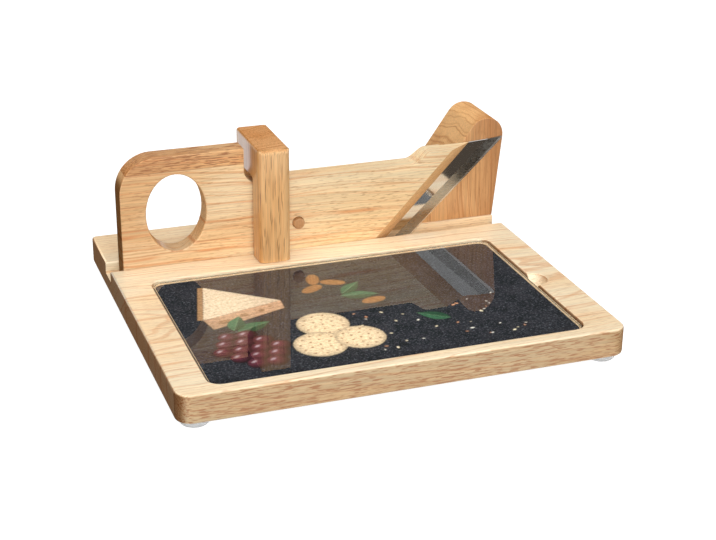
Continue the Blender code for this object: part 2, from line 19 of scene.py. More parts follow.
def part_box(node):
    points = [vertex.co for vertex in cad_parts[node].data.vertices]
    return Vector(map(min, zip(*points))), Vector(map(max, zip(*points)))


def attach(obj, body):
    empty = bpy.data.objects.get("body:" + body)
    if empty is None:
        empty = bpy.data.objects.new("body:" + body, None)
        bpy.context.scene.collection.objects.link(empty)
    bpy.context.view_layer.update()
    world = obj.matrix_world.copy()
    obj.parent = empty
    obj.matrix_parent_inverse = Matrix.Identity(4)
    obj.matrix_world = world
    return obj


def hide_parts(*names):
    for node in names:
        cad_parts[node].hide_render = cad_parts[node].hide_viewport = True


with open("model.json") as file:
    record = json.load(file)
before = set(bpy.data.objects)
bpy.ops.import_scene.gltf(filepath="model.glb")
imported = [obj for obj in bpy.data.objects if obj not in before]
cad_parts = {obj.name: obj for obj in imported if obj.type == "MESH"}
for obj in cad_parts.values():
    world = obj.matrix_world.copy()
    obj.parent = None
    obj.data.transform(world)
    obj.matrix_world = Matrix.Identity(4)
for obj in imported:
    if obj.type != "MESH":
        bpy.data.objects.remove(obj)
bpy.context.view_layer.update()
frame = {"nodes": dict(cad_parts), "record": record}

MM = 0.001
print("pieces in the frame:", len(frame["nodes"]))

# %% [markdown]
# ## The camera
#
# A camera can be set by eye, but a picture's straight edges give it exactly: lines that are parallel
# on the board meet at vanishing points, and those fix the lens and the direction. The board's known
# length then gives the distance. Here that made a long lens, a metre away, to the left of the board
# and well above it.

# %% Place the camera
CAMERA_PLACE = Vector((-0.3043, -0.8563, 0.4201))
CAMERA_LOOK = Vector((0.3143, 0.8631, -0.3953))
CAMERA_ROLL = math.radians(0.59)
LENS = 77.0
SENSOR_WIDTH = 36.0

camera = bpy.data.objects.new("camera", bpy.data.cameras.new("camera"))
bpy.context.scene.collection.objects.link(camera)
camera.data.lens = LENS
camera.data.sensor_width = SENSOR_WIDTH
camera.location = CAMERA_PLACE
level = CAMERA_LOOK.to_track_quat("-Z", "Y")
camera.rotation_euler = (level @ Quaternion((0, 0, 1), CAMERA_ROLL)).to_euler()
bpy.context.scene.camera = camera
bpy.context.scene.view_settings.view_transform = "Standard"
print("camera to the board's middle:", round(CAMERA_PLACE.length, 3), "m")

# %% [markdown]
# ## Small tools for shader nodes
#
# A procedural finish is a chain of nodes, and it could be wired by hand in the shader editor.
# Written as code, each node, its options and its inputs fit in one call, and the chain stays
# readable from the coordinates at its start to the shader at its end.


# %% Node helpers
def add(tree, kind, feeds=None, **options):
    """Add a node, set its options, and link or set its inputs."""
    made = tree.nodes.new("ShaderNode" + kind)
    for name, value in options.items():
        setattr(made, name, value)
    for name, value in (feeds or {}).items():
        if isinstance(value, bpy.types.NodeSocket):
            tree.links.new(value, made.inputs[name])
        else:
            made.inputs[name].default_value = value
    return made


def math_of(tree, operation, *values):
    """The result of a Math node on sockets and numbers."""
    return add(tree, "Math", dict(enumerate(values)), operation=operation).outputs[0]


def mixed(tree, factor, first, second, blend_type="MIX"):
    """Two colours mixed by a factor. A colour is a socket or three numbers."""
    feeds = {0: factor}
    for place, colour in ((6, first), (7, second)):
        feeds[place] = colour if isinstance(colour, bpy.types.NodeSocket) else (*colour, 1.0)
    return add(tree, "Mix", feeds, data_type="RGBA", blend_type=blend_type).outputs[2]


def tinted(tree, cover, colour, tone):
    """A colour that is multiplied by a tone where it is covered."""
    return mixed(tree, cover, colour, mixed(tree, 1.0, colour, tone, "MULTIPLY"))


def ramp(tree, factor, low, high, start=0.0, end=1.0):
    """A value that goes from start to end while the factor goes from low to high."""
    feeds = {"Value": factor, "From Min": low, "From Max": high, "To Min": start, "To Max": end}
    return add(tree, "MapRange", feeds, interpolation_type="SMOOTHSTEP").outputs[0]


def noise(tree, vector, scale=1.0, detail=2.0, roughness=0.5):
    """A noise value that averages one half."""
    feeds = {"Vector": vector, "Scale": scale, "Detail": detail, "Roughness": roughness}
    return add(tree, "TexNoise", feeds).outputs[0]


def grey(tree, value):
    """A grey colour from a value, to multiply with."""
    return add(tree, "CombineColor", dict.fromkeys(range(3), value)).outputs[0]


def object_place(tree):
    """The Object coordinates of the point that is shaded."""
    return add(tree, "TexCoord").outputs["Object"]


def new_finish(name):
    """A new material, its node tree and its Principled shader."""
    material = bpy.data.materials.new(name)
    material.use_nodes = True
    return material, material.node_tree, material.node_tree.nodes["Principled BSDF"]


def surface_of(tree):
    """The socket that a material's shader goes into."""
    return tree.nodes["Material Output"].inputs["Surface"]


node_helpers = (add, math_of, mixed, tinted, ramp, noise, grey, object_place, surface_of)
print("node helpers:", [helper.__name__ for helper in node_helpers])

# %% [markdown]
# ## Grain that runs through the wood
#
# A real board is cut from a tree, so its pattern isn't painted on: the year rings show as long
# streaks on the faces and as arcs or dots on the ends. A picture wrapped round the shape would break
# at every corner. A pattern on Object coordinates runs on through the corners, as grain does. The
# distance from the tree's heart gives the rings, and noise that is stretched along the grain gives
# the fibres and pores.

# %% Grain helpers
GRAIN_AXES = {"X": (0, 1, 2), "X upright": (0, 2, 1), "Z": (2, 0, 1)}
FINE_RINGS = 560
WANDER_GRAIN = (7, 22)
VEIN_BREAKS = 16.0
VEIN_APART = 3.7


def grain_axes(tree, grain):
    """The place and the normal of a point, each as along, across and deep in the grain."""
    where = add(tree, "TexCoord").outputs
    found = []
    for coordinates in ("Object", "Normal"):
        parts = add(tree, "SeparateXYZ", {0: where[coordinates]}).outputs
        found.append([parts[axis] for axis in GRAIN_AXES[grain]])
    return found


def stretched(tree, axes, lengthwise, crosswise):
    """Coordinates that make noise long along the grain. Both numbers are counts per metre."""
    counts = (lengthwise, crosswise, crosswise)
    scaled = [math_of(tree, "MULTIPLY", axis, count) for axis, count in zip(axes, counts)]
    return add(tree, "CombineXYZ", dict(enumerate(scaled))).outputs[0]


def year_rings(tree, axes, heart, pitch, lean, wave):
    """Broad rings and fine rings about the tree's heart, and how far the grain wanders."""
    along, across, deep = axes
    wander = noise(tree, stretched(tree, axes, *WANDER_GRAIN), detail=3)
    wander = math_of(tree, "MULTIPLY", math_of(tree, "SUBTRACT", wander, 0.5), wave)
    side = math_of(tree, "SUBTRACT", across, heart[0])
    depth = math_of(tree, "SUBTRACT", deep, heart[1])
    squares = [math_of(tree, "MULTIPLY", value, value) for value in (side, depth)]
    radius = math_of(tree, "SQRT", math_of(tree, "ADD", *squares))
    radius = math_of(tree, "ADD", radius, wander)
    radius = math_of(tree, "ADD", radius, math_of(tree, "MULTIPLY", along, lean))
    rings = []
    for count, detail, roughness in ((pitch, 3.0, 0.6), (FINE_RINGS, 2.0, 0.5)):
        turns = math_of(tree, "MULTIPLY", radius, count)
        feeds = {"W": turns, "Detail": detail, "Roughness": roughness}
        rings.append(add(tree, "TexNoise", feeds, noise_dimensions="1D").outputs[0])
    return (*rings, wander)


def vein_cover(tree, axes, wander, veins):
    """How much of a spot is vein. A vein is its place across, its half width and its strength."""
    along, across, _ = axes
    cover = 0.0
    for number, (place, thickness, strength) in enumerate(veins):
        away = math_of(tree, "SUBTRACT", math_of(tree, "ADD", across, wander), place)
        away = math_of(tree, "DIVIDE", math_of(tree, "ABSOLUTE", away), thickness)
        line = ramp(tree, away, 0.15, 1.0, strength, 0.0)
        stretch = add(tree, "CombineXYZ", {0: along, 1: VEIN_APART * number}).outputs[0]
        broken = ramp(tree, noise(tree, stretch, scale=VEIN_BREAKS, detail=2), 0.38, 0.56)
        cover = math_of(tree, "MAXIMUM", cover, math_of(tree, "MULTIPLY", line, broken))
    return cover


def veins_from(edge, veins):
    """Veins in metres, from places and half widths that are given in millimetres from an edge."""
    return [(edge + place * MM, width * MM, strength) for place, width, strength in veins]


print("grain directions:", list(GRAIN_AXES))

# %% [markdown]
# ## Wood as a maker buys it
#
# A panel is glued from strips of different boards, so one strip can be darker and coarser than its
# neighbour, with a thin glue line between them. The faces are lacquered. The sawn ends drink the
# lacquer, so they are darker and duller. The ends that face away from the lamps are drawn darker
# still, which is painted shade. Tones could be painted in by hand, but here they follow the place
# and the direction of the surface, so they stay right at every corner.

# %% One strip of another board
SEAM_HALF = 0.2 * MM
GLUE_HALF = 0.5 * MM
COARSE_GRAIN = (120, 1250)


def glued_strip(tree, axes, facing, strip, colour, pore, pore_tone):
    """The colour and the pores, with one strip from another board. The strip is its seam, 1 if it
    lies above the seam, 1 if the broad faces show it too, and its tone."""
    seam, above, broad_faces, tone = strip
    inside = ramp(tree, axes[1], seam - SEAM_HALF, seam + SEAM_HALF, 1 - above, above)
    shows = ramp(tree, facing[2], 0.3, 0.8, 1.0, broad_faces)
    inside = math_of(tree, "MULTIPLY", inside, shows)
    colour = tinted(tree, inside, colour, tone)
    off_seam = math_of(tree, "ABSOLUTE", math_of(tree, "SUBTRACT", axes[1], seam))
    glue = ramp(tree, off_seam, 0.0, GLUE_HALF, 0.5 * above, 0.0)
    colour = mixed(tree, glue, colour, pore_tone)
    coarse = noise(tree, stretched(tree, axes, *COARSE_GRAIN), detail=2)
    coarse = math_of(tree, "MULTIPLY", ramp(tree, coarse, 0.50, 0.62, 0.0, 2.3), inside)
    return colour, math_of(tree, "MAXIMUM", pore, coarse)


print("half of the glue line:", GLUE_HALF / MM, "mm")

# %% The wood finish
PATCH_GRAIN = (9, 30)
FIBRE_GRAIN = (22, 1100)
PORE_DEPTH = 0.1 * MM
COAT_ROUGHNESS = 0.16
TURN_START, TURN_END = 0.35, 0.85
TURN_BLUR = 2.5 * MM


def wood(
    name,
    grain,
    heart,
    tones,
    pitch=150,
    streaks=0.5,
    fine=0.3,
    pores=0.5,
    dash=(170, 1500),
    ends=(0.60, 0.56, 0.52),
    flanks=(1.0, 1.0, 1.0),
    lean=0.0,
    wave=0.010,
    veins=(),
    strip=None,
    coat=0.4,
    shine=0.5,
    shift=0.0,
    painted_shade_along=None,
    painted_end_shade=None,
):
    """Lacquered hardwood. The tones are light, warm, streak and pore.

    The heart is the tree's middle, seen along the grain. Pitch is the rings per metre. Streaks,
    fine and pores are strengths, and dash is how many pores a metre holds along and across. Ends
    and flanks are tones of those faces; on the block they are painted light. The grain leans and
    waves, and shift moves its patches. Painted shade along is where a painted shade is fullest,
    where it has faded out, and its tone. Painted end shade is the place before which the end faces
    that look backwards are drawn darker as painted shade, and their tone.
    """
    material, tree, shader = new_finish(name)
    light, warm, streak_tone, pore_tone = tones
    axes, normal = grain_axes(tree, grain)
    along, across, deep = axes
    facing = [math_of(tree, "ABSOLUTE", part) for part in normal]
    rings, lines, wander = year_rings(tree, axes, heart, pitch, lean, wave)

    farther = math_of(tree, "ADD", along, shift)
    patches = noise(tree, stretched(tree, (farther, across, deep), *PATCH_GRAIN), detail=3)
    fibres = noise(tree, stretched(tree, axes, *FIBRE_GRAIN), detail=3)
    dashes = noise(tree, stretched(tree, axes, *dash), detail=1)
    crowd = ramp(tree, math_of(tree, "ADD", patches, rings), 0.80, 1.15, 0.35, 1.0)
    pore = math_of(tree, "MULTIPLY", ramp(tree, dashes, 0.58, 0.67), crowd)

    colour = mixed(tree, ramp(tree, patches, 0.35, 0.65), light, warm)
    streak = math_of(tree, "MULTIPLY", ramp(tree, rings, 0.50, 0.68), streaks)
    colour = mixed(tree, streak, colour, streak_tone)
    thin = math_of(tree, "MULTIPLY", ramp(tree, lines, 0.56, 0.70, 0.0, fine), patches)
    colour = mixed(tree, thin, colour, streak_tone)
    if veins:
        colour = mixed(tree, vein_cover(tree, axes, wander, veins), colour, streak_tone)
    if strip:
        colour, pore = glued_strip(tree, axes, facing, strip, colour, pore, pore_tone)
    # Painted shade: the tone is fullest at one place along the grain and fades out by another.
    if painted_shade_along:
        darkest, plain, tone = painted_shade_along
        colour = tinted(tree, ramp(tree, along, darkest, plain, 1.0, 0.0), colour, tone)
    shade = grey(tree, ramp(tree, fibres, 0.3, 0.7, 0.86, 1.06))
    colour = mixed(tree, 1.0, colour, shade, "MULTIPLY")
    colour = mixed(tree, math_of(tree, "MULTIPLY", pore, pores), colour, pore_tone)

    end, flank = (ramp(tree, value, TURN_START, TURN_END) for value in facing[:2])
    covers = [(end, ends), (flank, flanks)]
    # Painted shade: end faces that look backwards, before the given place, are drawn darker.
    if painted_end_shade:
        last, tone = painted_end_shade
        backwards = ramp(tree, math_of(tree, "MULTIPLY", normal[0], -1.0), TURN_START, TURN_END)
        before = ramp(tree, along, last - TURN_BLUR, last, 1.0, 0.0)
        covers.append((math_of(tree, "MULTIPLY", backwards, before), tone))
    for cover, tone in covers:
        colour = tinted(tree, cover, colour, tone)

    height = math_of(tree, "SUBTRACT", math_of(tree, "MULTIPLY", fibres, 0.35), pore)
    bump = add(tree, "Bump", {"Strength": 0.35, "Distance": PORE_DEPTH, "Height": height})
    silk = ramp(tree, fibres, 0.3, 0.7, 0.34, 0.48)
    rough = math_of(tree, "ADD", silk, math_of(tree, "MULTIPLY", end, 0.3))
    tree.links.new(colour, shader.inputs["Base Color"])
    tree.links.new(rough, shader.inputs["Roughness"])
    tree.links.new(bump.outputs[0], shader.inputs["Normal"])
    tree.links.new(ramp(tree, end, 0.0, 1.0, coat, 0.0), shader.inputs["Coat Weight"])
    tree.links.new(ramp(tree, end, 0.0, 1.0, shine, 0.0), shader.inputs["Specular IOR Level"])
    shader.inputs["Coat Roughness"].default_value = COAT_ROUGHNESS
    print(name, "nodes:", len(tree.nodes))
    return material


# %% [markdown]
# ## The board's wood
#
# The board is a pale cream hardwood with a few rose veins along its length. Its front face is drawn
# browner and with coarser pores for 9.4 mm back from the front edge, and the top does not show this.
# One finish covers all of it, because that band's place is known. The end faces that look away from
# the lamps are drawn darker: painted shade.

# %% Board wood
CREAM = (0.95, 0.80, 0.56)
HONEY = (0.94, 0.71, 0.44)
ROSE = (0.76, 0.36, 0.15)
BARK = (0.38, 0.16, 0.06)
FRONT_STRIP = 9.4 * MM
FRONT_TONE = (0.66, 0.57, 0.46)
BOARD_VEINS = (
    (26, 1.6, 0.8),
    (41, 2.2, 0.8),
    (56, 1.4, 0.8),
    (73, 2.4, 0.7),
    (90, 1.4, 0.8),
    (104, 2.4, 0.8),
    (121, 1.6, 0.8),
    (138, 2.2, 0.8),
    (229, 1.6, 0.7),
)

board_low, board_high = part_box("base_board")
board_wood = wood(
    "board_wood",
    grain="X",
    heart=(-0.03, -0.075),
    tones=(CREAM, HONEY, (0.80, 0.46, 0.24), BARK),
    streaks=0.6,
    fine=0.25,
    pores=0.38,
    ends=(0.80, 0.70, 0.62),
    lean=0.05,
    wave=0.016,
    veins=veins_from(board_low.y, BOARD_VEINS),
    # A browner tone and coarser pores on the front face only, up to the band's edge.
    strip=(board_low.y + FRONT_STRIP, 0, 0, FRONT_TONE),
    shift=0.31,
    # Painted shade: the faces that look away from the lamps are drawn darker.
    painted_end_shade=(board_high.x, (0.55, 0.46, 0.42)),
)

# %% [markdown]
# ## The sliding plate's wood
#
# The plate stands on edge, so its broad face is the side that the grain helper calls deep. A browner
# cap is glued along the top of the grip. The whole grip is drawn a little darker than the runner,
# fading out along the plate, and its left end darker still: both are painted shade. The slanted cut
# in front of the blade was sawn last and has no lacquer, so it has a finish of its own.

# %% Plate wood
CAP_SEAM = 64.1 * MM
CAP_TONE = (0.86, 0.70, 0.57)
# How far along the plate the painted shade on the grip fades out.
GRIP_SHADE_LENGTH = 110 * MM
PLATE_HEART = (-0.12, 0.30)
PLATE_VEINS = (
    (5.0, 1.6, 0.90),
    (12.5, 1.2, 0.70),
    (21.5, 2.0, 0.90),
    (26.0, 1.4, 0.75),
    (39.0, 1.0, 0.50),
    (52.0, 1.2, 0.45),
)

board_top = board_high.z
grip_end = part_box("slider_plate")[0].x
slider_wood = wood(
    "slider_wood",
    grain="X upright",
    heart=PLATE_HEART,
    tones=((0.95, 0.77, 0.49), (0.94, 0.67, 0.36), ROSE, BARK),
    streaks=0.6,
    ends=(1.0, 0.92, 0.84),
    lean=0.03,
    veins=veins_from(board_top, PLATE_VEINS),
    strip=(board_top + CAP_SEAM, 1, 1, CAP_TONE),
    shift=1.55,
    # Painted shade: the grip is drawn darker, fading out towards the runner.
    painted_shade_along=(grip_end, grip_end + GRIP_SHADE_LENGTH, (0.80, 0.69, 0.62)),
    # Painted shade: the grip's left end, which faces away from the lamps, is drawn darker.
    painted_end_shade=(grip_end + 3 * MM, (0.40, 0.33, 0.25)),
)
cut_wood = wood(
    "cut_wood",
    grain="X upright",
    heart=PLATE_HEART,
    tones=((0.78, 0.49, 0.24), (0.72, 0.41, 0.18), (0.58, 0.29, 0.12), BARK),
    ends=(1.0, 1.0, 1.0),
    coat=0.0,
    shine=0.1,
)

# %% [markdown]
# ## The wood of the bridge, the block and the peg
#
# All three have upright grain. The bridge shows long dark pores and end grain on its top. The block
# was cut from a redder board with broad, soft rings, and its top and its sloping side are drawn
# lighter than its front: painted light. The peg is a darker dowel. They share the finish above and
# differ in its numbers, which is quicker and steadier than three finishes.

# %% Bridge, block and peg wood
bridge_wood = wood(
    "bridge_wood",
    grain="Z",
    heart=(-0.06, 0.14),
    tones=((0.86, 0.54, 0.25), (0.78, 0.43, 0.17), (0.56, 0.24, 0.07), (0.22, 0.09, 0.03)),
    streaks=0.7,
    pores=0.75,
    dash=(65, 1700),
    ends=(0.78, 0.66, 0.62),
    flanks=(0.84, 0.73, 0.55),
    coat=0.8,
)
block_wood = wood(
    "block_wood",
    grain="Z",
    heart=(-0.60, 0.02),
    tones=((0.70, 0.39, 0.17), (0.52, 0.24, 0.09), (0.42, 0.16, 0.05), (0.28, 0.11, 0.04)),
    pitch=85,
    streaks=0.75,
    fine=0.08,
    pores=0.35,
    # Painted light: the top and the sloping sides are drawn lighter than the front face.
    ends=(1.16, 1.20, 1.22),
    flanks=(1.14, 1.18, 1.18),
    lean=0.10,
    wave=0.016,
)
peg_wood = wood(
    "peg_wood",
    grain="Z",
    heart=(-0.02, 0.20),
    tones=((0.66, 0.37, 0.17), (0.54, 0.28, 0.12), (0.38, 0.18, 0.07), BARK),
)

# %% [markdown]
# ## Wooden pieces from the frame's own solids
#
# The frame's wooden solids have the right shape, but they are loose triangles, and flat shading
# would show every facet of a rounding. They could be modelled again. It is surer to merge a copy and
# join its flat faces, so that smooth shading works. Its hard corners then get the small rounding
# that sandpaper leaves, because that rounding catches the light as a thin bright line.


# %% Copy, merge and soften a solid
def body_of_node(node):
    """The body a node rides on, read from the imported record."""
    for body, members in frame["record"]["behaviour"]["bodies"].items():
        if node in members:
            return body


def show(bm, name, material, replaced, smooth_up_to=38):
    """Make a bmesh the visible piece for a node, riding where that node rides."""
    mesh = bpy.data.meshes.new(name)
    bm.to_mesh(mesh)
    bm.free()
    mesh.shade_smooth()
    mesh.set_sharp_from_angle(angle=math.radians(smooth_up_to))
    mesh.materials.append(material)
    piece = bpy.data.objects.new(name, mesh)
    bpy.context.scene.collection.objects.link(piece)
    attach(piece, body_of_node(replaced))
    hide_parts(replaced)
    print(name, "faces:", len(mesh.polygons))
    return piece


def merged_copy(node):
    """A bmesh of a node, with its doubles merged and its flat faces joined."""
    bm = bmesh.new()
    bm.from_mesh(frame["nodes"][node].data)
    bmesh.ops.remove_doubles(bm, verts=bm.verts, dist=0.002 * MM)
    bmesh.ops.dissolve_limit(bm, angle_limit=math.radians(0.3), verts=bm.verts, edges=bm.edges)
    return bm


def rounded(bm, edges, radius, segments):
    """Round the given edges of a bmesh."""
    bmesh.ops.bevel(
        bm,
        geom=edges,
        offset=radius,
        offset_type="OFFSET",
        segments=segments,
        profile=0.5,
        affect="EDGES",
        clamp_overlap=True,
        material=-1,
    )


def sand(bm, radius, wanted):
    """Round the hard edges whose two ends pass the test together."""
    hard = [
        edge
        for edge in bm.edges
        if len(edge.link_faces) == 2
        and edge.calc_face_angle() > math.radians(50)
        and wanted(edge.verts[0].co, edge.verts[1].co)
    ]
    rounded(bm, hard, radius, 3)


def keep_flats_flat(piece):
    """Weight the corner normals by face area, so a large flat face keeps an even shade."""
    weighted = piece.modifiers.new("flat_faces", "WEIGHTED_NORMAL")
    weighted.keep_sharp = True


# %% [markdown]
# ## The base board
#
# It is one glued panel, routed for the groove, the glass and a fingertip. It could be cut from a
# box again, but the solid has all of its rims rounded already, so a copy only needs merging.

# %% Base board
board_piece = show(
    merged_copy("base_board"), "slicer_base", board_wood, "base_board"
)
keep_flats_flat(board_piece)

# %% [markdown]
# ## The sliding plate
#
# The grip's rounding is in the solid. The runner, the step and the nose are sawn and then sanded
# lightly, so their long edges get a half-millimetre rounding here. The slanted cut at the nose is
# found by the way it faces, and gets the finish without lacquer.

# %% Sliding plate
PLATE_EDGE = 0.5 * MM
IN_GROOVE = 9 * MM

slider_mesh = merged_copy("slider_plate")
sand(
    slider_mesh,
    PLATE_EDGE,
    lambda a, b: (a - b).length > 1.5 * MM and min(a.z, b.z) > board_top - IN_GROOVE,
)
slider_piece = show(slider_mesh, "sliding_plate", slider_wood, "slider_plate")
slider_piece.data.materials.append(cut_wood)
for face in slider_piece.data.polygons:
    if face.normal.x > 0.4 and face.normal.y < -0.5:
        face.material_index = 1
keep_flats_flat(slider_piece)

# %% [markdown]
# ## The bridge and the block
#
# Hands pass over the bridge all the time, so its edges are rounded well. The block keeps crisper
# edges, because the blade passes close to its front face. Both only need their rounding, so one
# loop makes them.

# %% Bridge and stop block
for node, name, material, slot, rounding in (
    ("guide_bridge", "slotted_bridge", bridge_wood, "bridge_wood", 1.3 * MM),
    ("stop_block", "shear_block", block_wood, "block_wood", 0.6 * MM),
):
    mesh = merged_copy(node)
    sand(
        mesh,
        rounding,
        lambda a, b: (a - b).length > 1.0 * MM and max(a.z, b.z) > board_top + MM,
    )
    keep_flats_flat(show(mesh, name, material, node))

# %% [markdown]
# ## Steel
#
# The blade is polished, so what it shows is its surroundings: the board's pale margin, the printed
# glass and the dark beside the board. Its ground bevel is brushed, which blurs them, and the strip
# along the cutting edge is duller still and drawn with a lighter tint, a painted highlight along the
# edge. Fine lines of noise in the roughness and the bump give the brushing. A plain grey would look
# like plastic.


# %% Steel finishes
BRUSH_GRAIN = (40, 2500)
BRUSH_DEPTH = 0.02 * MM


def steel(name, tint, roughness, brushing):
    """Steel with fine lines along X, whose depth is the brushing."""
    material, tree, shader = new_finish(name)
    where = object_place(tree)
    parts = add(tree, "SeparateXYZ", {0: where}).outputs
    lines = noise(tree, stretched(tree, parts, *BRUSH_GRAIN))
    smudge = noise(tree, where, scale=60.0, detail=3)
    shares = [math_of(tree, "MULTIPLY", lines, 0.6), math_of(tree, "MULTIPLY", smudge, 0.4)]
    even = math_of(tree, "ADD", *shares)
    rough = ramp(tree, even, 0.3, 0.7, roughness * 0.7, roughness * 1.4)
    tree.links.new(rough, shader.inputs["Roughness"])
    bump = add(tree, "Bump", {"Strength": brushing, "Distance": BRUSH_DEPTH, "Height": lines})
    tree.links.new(bump.outputs[0], shader.inputs["Normal"])
    shader.inputs["Base Color"].default_value = (*tint, 1.0)
    shader.inputs["Metallic"].default_value = 1.0
    print(name, "roughness:", roughness)
    return material


blade_steel = steel("blade_steel", (0.74, 0.74, 0.72), roughness=0.07, brushing=0.05)
bevel_steel = steel("bevel_steel", (0.46, 0.45, 0.42), roughness=0.26, brushing=0.25)
# Painted highlight: the honed strip's tint is lighter than the blade's, for the bright edge line.
honed_edge_highlight = steel("honed_edge_highlight", (0.92, 0.88, 0.83), roughness=0.35, brushing=0.10)
screw_steel = steel("screw_steel", (0.56, 0.56, 0.57), roughness=0.32, brushing=0.3)

# %% [markdown]
# ## The blade and the screws
#
# The solid has the blade's outline and its ground face. A cut parallel to the edge splits off a
# narrow strip, and the edge is moved back a little, which makes the second, smaller bevel that a
# sharpening stone leaves. The top is chamfered and falls gently to the left, where the plate hides it.
# The screws are small, so merged copies of their solids are enough.

# %% Blade
STRIP_WIDTH = 0.8 * MM
STRIP_FALL = 0.15 * MM
TOP_CHAMFER = 0.5 * MM
TOP_FALL = 2.7 * MM
GROUND_LEAN = 0.14

blade_low, blade_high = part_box("blade")
blade_mesh = merged_copy("blade")
ground = max(
    (face for face in blade_mesh.faces if face.normal.y < -0.9 and abs(face.normal.x) > 0.02),
    key=lambda face: face.calc_area(),
)
cutting_side = [vert for vert in ground.verts if vert.co.y > blade_low.y + 1.0 * MM]
lowest = min(cutting_side, key=lambda vert: vert.co.z)
highest = max(cutting_side, key=lambda vert: vert.co.z)
along_edge = (highest.co - lowest.co).normalized()
inwards = along_edge.cross(ground.normal).normalized()
if inwards.z < 0:
    inwards.negate()
bmesh.ops.bisect_plane(
    blade_mesh,
    geom=[ground] + list(ground.edges) + list(ground.verts),
    plane_co=lowest.co + inwards * STRIP_WIDTH,
    plane_no=inwards,
)
for vert in cutting_side:
    vert.co.y += STRIP_FALL
sand(
    blade_mesh,
    TOP_CHAMFER,
    lambda a, b: min(a.z, b.z) > blade_high.z - 0.1 * MM and abs(a.x - b.x) > 20 * MM,
)
top_verts = [vert for vert in blade_mesh.verts if vert.co.z > blade_high.z - 2 * TOP_CHAMFER]
top_start = min(vert.co.x for vert in top_verts)
for vert in top_verts:
    vert.co.z -= TOP_FALL * (blade_high.x - vert.co.x) / (blade_high.x - top_start)

# %% Blade's three finishes, and the screws
blade_piece = show(
    blade_mesh, "steel_blade", blade_steel, "blade", smooth_up_to=3
)
keep_flats_flat(blade_piece)
for finish in (bevel_steel, honed_edge_highlight):
    blade_piece.data.materials.append(finish)
for face in blade_piece.data.polygons:
    if face.normal.y < -0.9 and face.normal.x > 0.02:
        face.material_index = 1 if face.normal.x < GROUND_LEAN else 2
        print("ground face leans", round(face.normal.x, 3), "finish", face.material_index)

for node in (name for name in frame["nodes"] if "screw" in name):
    show(merged_copy(node), "steel_" + node, screw_steel, node)

# %% [markdown]
# ## Turned shapes
#
# The peg and the bumpers are round, so a profile of a few points is enough. It could be drawn and
# given a Screw modifier. Here it is spun about its axis in the mesh itself, and the first and last
# steps are merged, so that the shape is closed.


# %% Spin a profile
def spun(profile, centre, axis, steps=48):
    """A closed turned shape. The profile holds (radius, height) points along the axis."""
    bm = bmesh.new()
    axis = Vector(axis)
    sideways = axis.orthogonal().normalized()
    centre = Vector(centre)
    verts = [bm.verts.new(centre + sideways * r + axis * h) for r, h in profile]
    edges = [bm.edges.new(pair) for pair in zip(verts, verts[1:])]
    bmesh.ops.spin(
        bm,
        geom=verts + edges,
        cent=centre,
        axis=axis,
        angle=2 * math.pi,
        steps=steps,
        use_merge=True,
    )
    bmesh.ops.remove_doubles(bm, verts=bm.verts, dist=0.001 * MM)
    bmesh.ops.recalc_face_normals(bm, faces=bm.faces)
    return bm


def quarter_turn(steps):
    """Angles from nought to a quarter turn."""
    return [math.pi / 2 * step / steps for step in range(steps + 1)]


print("a quarter turn in 2 steps:", [round(math.degrees(t)) for t in quarter_turn(2)])

# %% [markdown]
# ## The lock peg
#
# A short dowel that stands proud of the plate. Its end was sawn and rubbed round, so its rim has a
# large rounding and its middle a slight dome.

# %% Peg
PEG_RIM = 1.1 * MM
PEG_DOME = 0.35 * MM

peg_low, peg_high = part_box("lock_peg")
peg_radius = (peg_high.x - peg_low.x) / 2
peg_length = peg_high.y - peg_low.y
rim_height = peg_length - PEG_DOME
peg_rim = [
    (peg_radius - PEG_RIM + PEG_RIM * math.sin(t), rim_height - PEG_RIM + PEG_RIM * math.cos(t))
    for t in quarter_turn(8)
]
peg_foot = ((peg_low.x + peg_high.x) / 2, peg_high.y, (peg_low.z + peg_high.z) / 2)
peg_mesh = spun([(0, peg_length)] + peg_rim + [(peg_radius, 0), (0, 0)], peg_foot, (0, -1, 0))
show(peg_mesh, "wooden_peg", peg_wood, "lock_peg")

# %% [markdown]
# ## Clear finishes
#
# Glass bends light for the eye. In a renderer it would also throw a dark shadow on what lies under
# it, unless caustics are worked out, which is slow. So it is mixed with plain transparency for the
# rays that go to the lamps. The soft bumpers are milky, which is diffuse light mixed in.


# %% Glass and bumper finishes
def clear(name, tint, roughness, ior, milk=0.0):
    """Glass that bends light for the eye and lets the lamps through to what lies under it."""
    material, tree, shader = new_finish(name)
    marks = noise(tree, object_place(tree), scale=45.0, detail=4)
    handled = ramp(tree, marks, 0.45, 0.8, roughness, roughness + 0.03)
    tree.links.new(handled, shader.inputs["Roughness"])
    shader.inputs["Base Color"].default_value = (*tint, 1.0)
    shader.inputs["IOR"].default_value = ior
    shader.inputs["Transmission Weight"].default_value = 1.0 - milk
    through = add(tree, "BsdfTransparent", {"Color": (*tint, 1.0)})
    is_lamp = add(tree, "LightPath").outputs["Is Shadow Ray"]
    both = add(tree, "MixShader", {0: is_lamp, 1: shader.outputs[0], 2: through.outputs[0]})
    tree.links.new(both.outputs[0], surface_of(tree))
    print(name, "bends light by", ior)
    return material


clear_glass = clear("clear_glass", (0.97, 0.99, 0.98), roughness=0.0, ior=1.5)
bumper_clear = clear("bumper_clear", (0.96, 0.97, 0.98), roughness=0.12, ior=1.42, milk=0.55)

# %% [markdown]
# ## The bumpers
#
# Four soft clear domes that stick under the corners and flatten where they stand. The dome is a
# quarter of an oval from its widest ring down to the flat face, spun about its upright axis.

# %% Bumpers
BUMPER_FACE = 13.5 * MM

